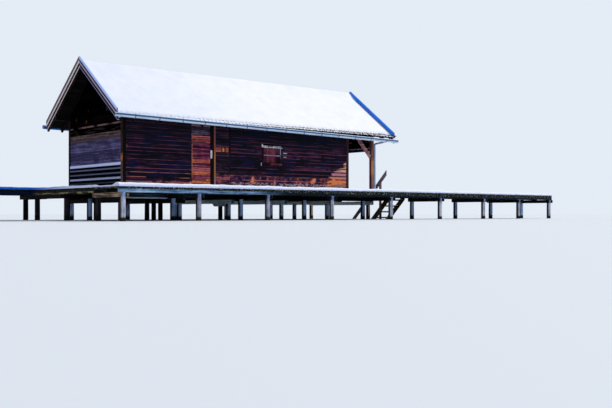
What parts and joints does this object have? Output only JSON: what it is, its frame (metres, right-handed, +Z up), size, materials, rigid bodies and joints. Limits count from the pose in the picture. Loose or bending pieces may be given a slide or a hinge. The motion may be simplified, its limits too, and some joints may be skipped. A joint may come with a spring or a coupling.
{
  "type": "boathouse",
  "caption": "Timber boathouse on piles with a snow-covered tiled gable roof, a long front walkway, an open porch, an access pier and a stair down to the water",
  "frame": {"origin": "middle of the outline in plan, at the foot of the piles at the water's surface", "axes": "+X along the ridge towards the open porch, +Y from the front walkway towards the back, +Z up"},
  "size_m": [31.46, 7.96, 6.0472],
  "materials": {
    "pile_timber": "weathered, damp",
    "deck_timber": "weathered, frosted on top",
    "frame_timber": "weathered",
    "wall_boards": "stained, matte",
    "gable_boards": "stained, weathered",
    "door_boards": "stained, matte",
    "snow_on_tiles": "clay tiles under thin snow",
    "barge_paint": "painted, matte",
    "sheet_zinc": "satin",
    "gutter_zinc": "satin",
    "iron": "forged, matte",
    "light_iron": "satin"
  },
  "bodies": {
    "boathouse": {"walkway_piles": "pile_timber", "side_deck_piles": "pile_timber", "boathouse_piles": "pile_timber", "walkway_clamps": "deck_timber", "side_deck_clamps": "deck_timber", "boathouse_crossheads": "frame_timber", "walkway_stringers": "deck_timber", "side_deck_stringers": "deck_timber", "walkway_deck": "deck_timber", "gable_and_porch_decks": "deck_timber", "access_pier_deck": "deck_timber", "floor_bearers": "frame_timber", "floor_joists": "frame_timber", "floor": "frame_timber", "sill_beams": "frame_timber", "corner_posts": "frame_timber", "wall_posts": "frame_timber", "front_wall_left": "wall_boards", "front_wall_over_door": "wall_boards", "front_wall_side_panel": "wall_boards", "front_wall_right": "wall_boards", "back_wall": "wall_boards", "left_gable_wall": "gable_boards", "left_gable_weatherboards": "gable_boards", "left_gable_triangle": "gable_boards", "right_end_wall": "wall_boards", "porch_gable": "wall_boards", "tie_beams": "frame_timber", "wall_plates": "frame_timber", "porch_braces": "frame_timber", "rafters": "frame_timber", "roof_front_slope": "snow_on_tiles", "roof_back_slope": "snow_on_tiles", "barge_boards": "barge_paint", "verge_flashings": "sheet_zinc", "gutters": "gutter_zinc", "downpipe": "sheet_zinc", "door_pintles": "iron", "window_frame": "wall_boards", "window_shutter": "door_boards", "stair_stringers": "frame_timber", "stair_treads": "deck_timber", "stair_handrail": "frame_timber"},
    "door": {"front_door": "door_boards", "door_ironwork": "light_iron"}
  },
  "joints": [
    {"name": "front_door_hinge", "type": "hinge", "parent": "boathouse", "child": "door", "pos_m": [-5.39, -2.058, 1.25], "axis": [0, 0, -1], "range_deg": [0, 100]}
  ]
}
